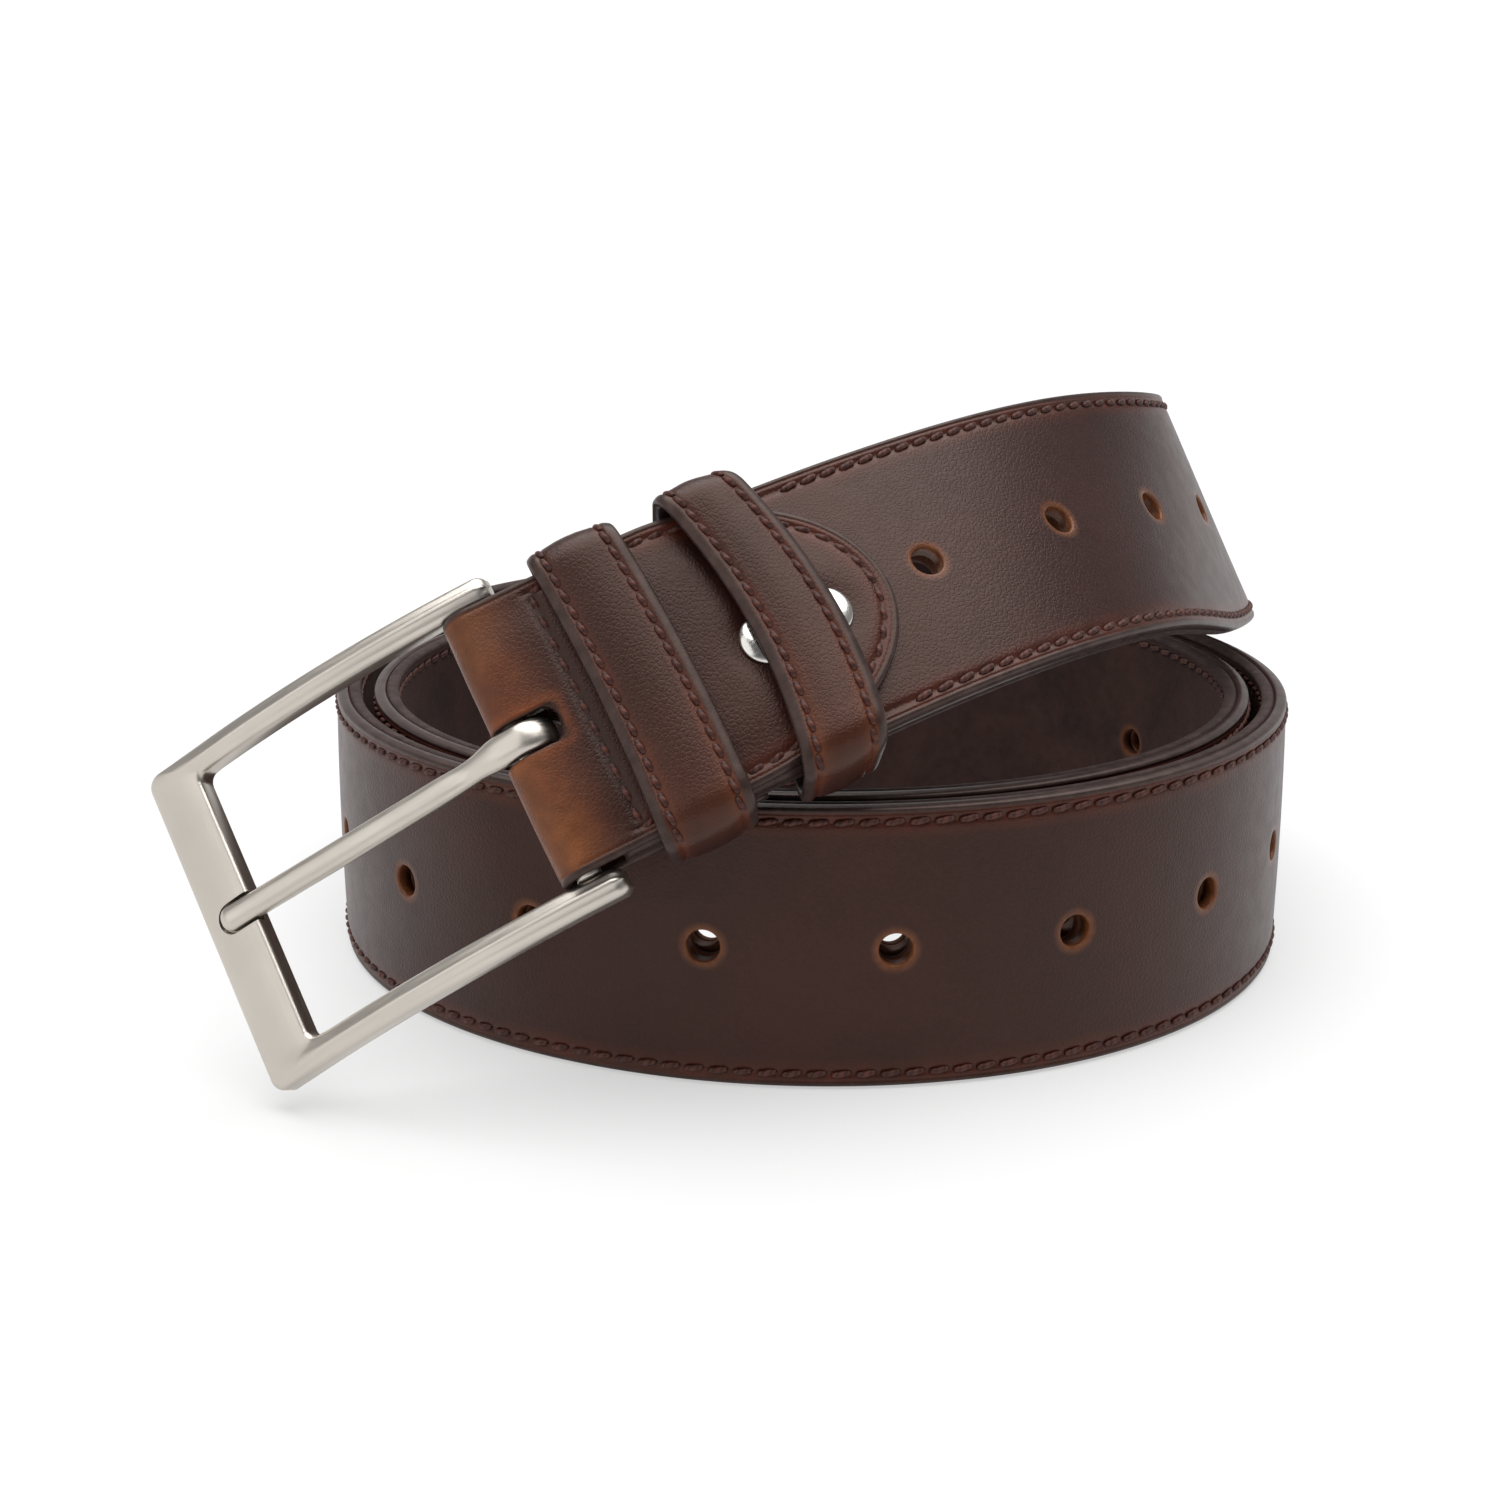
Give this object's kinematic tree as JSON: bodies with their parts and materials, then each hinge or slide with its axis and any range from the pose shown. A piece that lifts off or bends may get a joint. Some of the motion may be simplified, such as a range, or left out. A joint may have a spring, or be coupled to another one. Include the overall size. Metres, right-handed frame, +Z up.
{
  "type": "leather belt",
  "caption": "Coiled dark brown leather dress belt, stitched edges, punched along its length, with a brushed nickel pin buckle, two keepers and a screwed tab.",
  "frame": {"origin": "middle of the footprint, on the surface the coil stands on", "axes": "+Z up, -Y towards the side the buckle lies on, -X towards the buckle's outer bar"},
  "size_m": [0.1692, 0.1778, 0.0867],
  "materials": {
    "belt_leather": "dark oxblood brown smooth full-grain leather, satin, burnished edges",
    "lining_leather": "dark brown matt split leather",
    "seam_thread": "waxed reddish-brown thread",
    "brushed_nickel": "satin brushed warm nickel plating",
    "polished_nickel": "polished nickel plating"
  },
  "bodies": {
    "belt": {"strap_outer": "belt_leather", "strap_lining": "lining_leather", "edge_thread_upper": "seam_thread", "edge_thread_lower": "seam_thread", "buckle_tab": "belt_leather", "tab_edge_thread": "seam_thread", "tab_cross_thread": "seam_thread", "keeper_fixed": "belt_leather", "keeper_fixed_thread_left": "seam_thread", "keeper_fixed_thread_right": "seam_thread", "screw_near": "polished_nickel", "screw_post_near": "polished_nickel", "screw_far": "polished_nickel", "screw_post_far": "polished_nickel"},
    "buckle": {"buckle_frame": "brushed_nickel", "buckle_bar": "brushed_nickel"},
    "tongue": {"tongue": "brushed_nickel"},
    "keeper": {"keeper_sliding": "belt_leather", "keeper_sliding_thread_left": "seam_thread", "keeper_sliding_thread_right": "seam_thread"}
  },
  "joints": [
    {"name": "buckle_swing", "type": "hinge", "parent": "belt", "child": "buckle", "pos_m": [-0.03082, -0.07398, 0.0481], "axis": [-0.4279, 0.5099, 0.7462], "range_deg": [0, 45]},
    {"name": "tongue_swing", "type": "hinge", "parent": "buckle", "child": "tongue", "pos_m": [-0.03082, -0.07398, 0.0481], "axis": [-0.4279, 0.5099, 0.7462], "range_deg": [0, 70]},
    {"name": "keeper_slide", "type": "slide", "parent": "belt", "child": "keeper", "axis": [0.8724, 0.373, 0.3158], "range_m": [-0.003, 0.006]}
  ]
}
